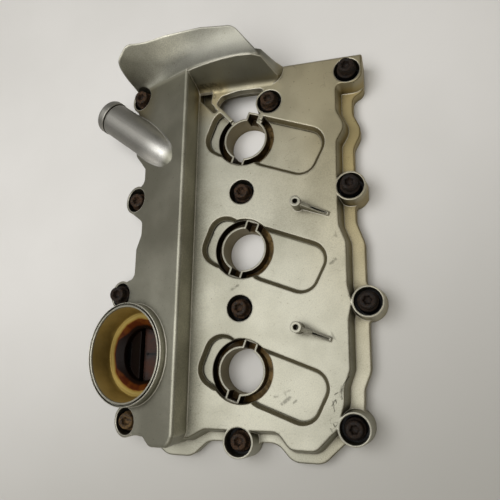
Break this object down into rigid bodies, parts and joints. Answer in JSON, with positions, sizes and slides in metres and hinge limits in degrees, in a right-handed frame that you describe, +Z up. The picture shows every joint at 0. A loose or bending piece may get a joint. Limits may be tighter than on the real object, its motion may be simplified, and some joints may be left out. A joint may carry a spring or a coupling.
{
  "type": "engine valve cover",
  "caption": "Cast cover shell for one cylinder bank: coil wells in drafted pockets, raised ridge box with tilted oil filler cup, breather pipe, flared end visor and captive bolts.",
  "frame": {"origin": "axis of the middle coil well, on the sealing plane of the base", "axes": "+Z up out of the engine along the coil wells; +Y along the row of wells towards the flared chain end; +X away from the filler and breather side"},
  "size_m": [0.2318, 0.3171, 0.0627],
  "materials": {
    "cast_alloy": "fine sand-cast, lightly oil-stained",
    "gasket_rubber": "moulded, matt",
    "baffle_steel": "oil-browned sheet",
    "screw_steel": "plated",
    "bolt_steel": "dark, rust-bloomed",
    "grommet_rubber": "moulded, matt",
    "sleeve_steel": "turned"
  },
  "bodies": {
    "root": {"cover_casting": "cast_alloy", "perimeter_gasket": "gasket_rubber", "well_seal_1": "gasket_rubber", "well_seal_2": "gasket_rubber", "well_seal_3": "gasket_rubber", "baffle_plate": "baffle_steel", "baffle_screws": "screw_steel", "cover_bolts": "bolt_steel", "bolt_grommets": "grommet_rubber", "bolt_sleeves": "sleeve_steel"}
  },
  "joints": []
}
